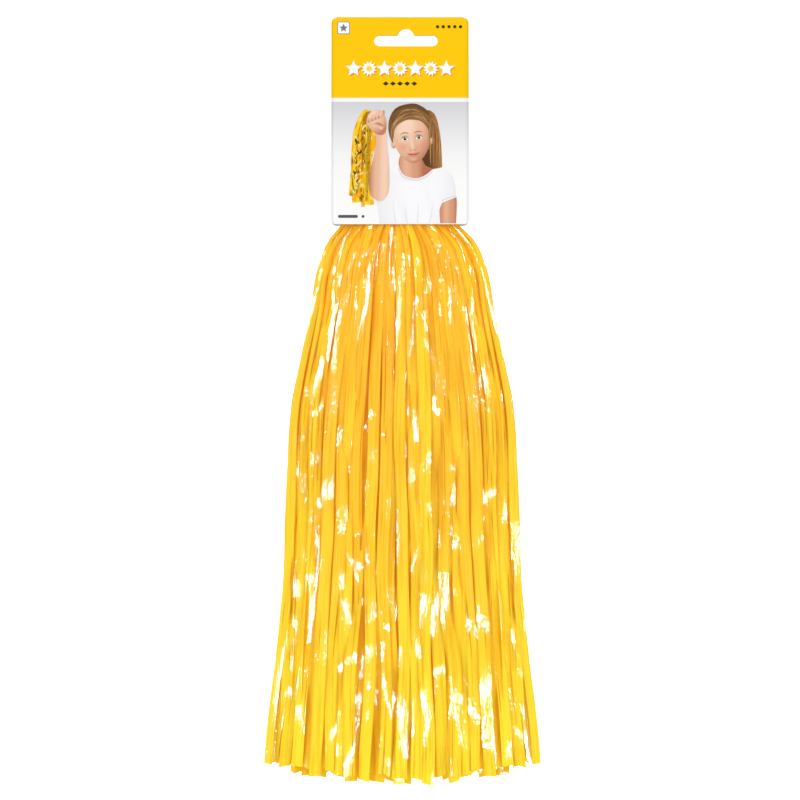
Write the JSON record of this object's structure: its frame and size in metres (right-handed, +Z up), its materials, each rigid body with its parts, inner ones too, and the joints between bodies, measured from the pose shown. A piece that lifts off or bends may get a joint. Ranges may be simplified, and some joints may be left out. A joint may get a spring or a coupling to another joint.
{
  "type": "cheer pom pom",
  "caption": "Hand-held pom pom: a plastic hand loop with a skirt of long glossy film streamers, under a folded header card with a hanging slot.",
  "frame": {"origin": "middle of the grip bar of the hand loop, where the closed hand holds it", "axes": "+X along the grip bar, +Y from the card's front to its back, +Z up from the streamers to the card"},
  "size_m": [0.138, 0.058, 0.386],
  "materials": {
    "film": "glossy metallised film",
    "handle": "satin moulded",
    "clear_tape": "satin",
    "staple_wire": "drawn wire",
    "card_print": "coated print",
    "adhesive": "matte"
  },
  "bodies": {
    "pom": {"handle_loop": "handle", "streamer_heading": "film", "heading_tape": "clear_tape", "heading_staples": "staple_wire", "streamer_core": "film"},
    "card": {"header_card_front": "card_print", "tape_pad_front": "adhesive"},
    "card_flap": {"header_card_back": "card_print", "tape_pad_back": "adhesive"},
    "tress_back_1": {"tress_back_1": "film"},
    "tress_back_2": {"tress_back_2": "film"},
    "tress_back_3": {"tress_back_3": "film"},
    "tress_back_4": {"tress_back_4": "film"},
    "tress_back_5": {"tress_back_5": "film"},
    "tress_back_6": {"tress_back_6": "film"},
    "tress_back_7": {"tress_back_7": "film"},
    "tress_front_1": {"tress_front_1": "film"},
    "tress_front_2": {"tress_front_2": "film"},
    "tress_front_3": {"tress_front_3": "film"},
    "tress_front_4": {"tress_front_4": "film"},
    "tress_front_5": {"tress_front_5": "film"},
    "tress_front_6": {"tress_front_6": "film"},
    "tress_front_7": {"tress_front_7": "film"},
    "tress_left": {"tress_left": "film"},
    "tress_right": {"tress_right": "film"}
  },
  "joints": [
    {"name": "card_lift", "type": "slide", "parent": "pom", "child": "card", "axis": [0, 0, 1], "range_m": [0, 0.07]},
    {"name": "card_flap_open", "type": "hinge", "parent": "card", "child": "card_flap", "pos_m": [0, 0, 0.048], "axis": [1, 0, 0], "range_deg": [0, 150]},
    {"name": "tress_back_1_lift", "type": "hinge", "parent": "pom", "child": "tress_back_1", "pos_m": [-0.02175, 0.0038, -0.0583], "axis": [0.9946, 0, -0.1035], "range_deg": [0, 65]},
    {"name": "tress_back_2_lift", "type": "hinge", "parent": "pom", "child": "tress_back_2", "pos_m": [-0.0145, 0.0046, -0.0583], "axis": [0.9976, 0, -0.0692], "range_deg": [0, 48]},
    {"name": "tress_back_3_lift", "type": "hinge", "parent": "pom", "child": "tress_back_3", "pos_m": [-0.00725, 0.00493, -0.0583], "axis": [0.9994, 0, -0.0347], "range_deg": [0, 65]},
    {"name": "tress_back_4_lift", "type": "hinge", "parent": "pom", "child": "tress_back_4", "pos_m": [0, 0.005, -0.0583], "axis": [1, 0, 0], "range_deg": [0, 48]},
    {"name": "tress_back_5_lift", "type": "hinge", "parent": "pom", "child": "tress_back_5", "pos_m": [0.00725, 0.00493, -0.0583], "axis": [0.9994, 0, 0.0347], "range_deg": [0, 65]},
    {"name": "tress_back_6_lift", "type": "hinge", "parent": "pom", "child": "tress_back_6", "pos_m": [0.0145, 0.0046, -0.0583], "axis": [0.9976, 0, 0.0692], "range_deg": [0, 48]},
    {"name": "tress_back_7_lift", "type": "hinge", "parent": "pom", "child": "tress_back_7", "pos_m": [0.02175, 0.0038, -0.0583], "axis": [0.9946, 0, 0.1035], "range_deg": [0, 65]},
    {"name": "tress_front_1_lift", "type": "hinge", "parent": "pom", "child": "tress_front_1", "pos_m": [-0.02175, -0.0038, -0.0583], "axis": [-0.9946, 0, 0.1035], "range_deg": [0, 65]},
    {"name": "tress_front_2_lift", "type": "hinge", "parent": "pom", "child": "tress_front_2", "pos_m": [-0.0145, -0.0046, -0.0583], "axis": [-0.9976, 0, 0.0692], "range_deg": [0, 48]},
    {"name": "tress_front_3_lift", "type": "hinge", "parent": "pom", "child": "tress_front_3", "pos_m": [-0.00725, -0.00493, -0.0583], "axis": [-0.9994, 0, 0.0347], "range_deg": [0, 65]},
    {"name": "tress_front_4_lift", "type": "hinge", "parent": "pom", "child": "tress_front_4", "pos_m": [0, -0.005, -0.0583], "axis": [-1, 0, 0], "range_deg": [0, 48]},
    {"name": "tress_front_5_lift", "type": "hinge", "parent": "pom", "child": "tress_front_5", "pos_m": [0.00725, -0.00493, -0.0583], "axis": [-0.9994, 0, -0.0347], "range_deg": [0, 65]},
    {"name": "tress_front_6_lift", "type": "hinge", "parent": "pom", "child": "tress_front_6", "pos_m": [0.0145, -0.0046, -0.0583], "axis": [-0.9976, 0, -0.0692], "range_deg": [0, 48]},
    {"name": "tress_front_7_lift", "type": "hinge", "parent": "pom", "child": "tress_front_7", "pos_m": [0.02175, -0.0038, -0.0583], "axis": [-0.9946, 0, -0.1035], "range_deg": [0, 65]},
    {"name": "tress_left_lift", "type": "hinge", "parent": "pom", "child": "tress_left", "pos_m": [-0.0295, 0, -0.0583], "axis": [0, 1, 0], "range_deg": [0, 50]},
    {"name": "tress_right_lift", "type": "hinge", "parent": "pom", "child": "tress_right", "pos_m": [0.0295, 0, -0.0583], "axis": [0, -1, 0], "range_deg": [0, 50]}
  ]
}
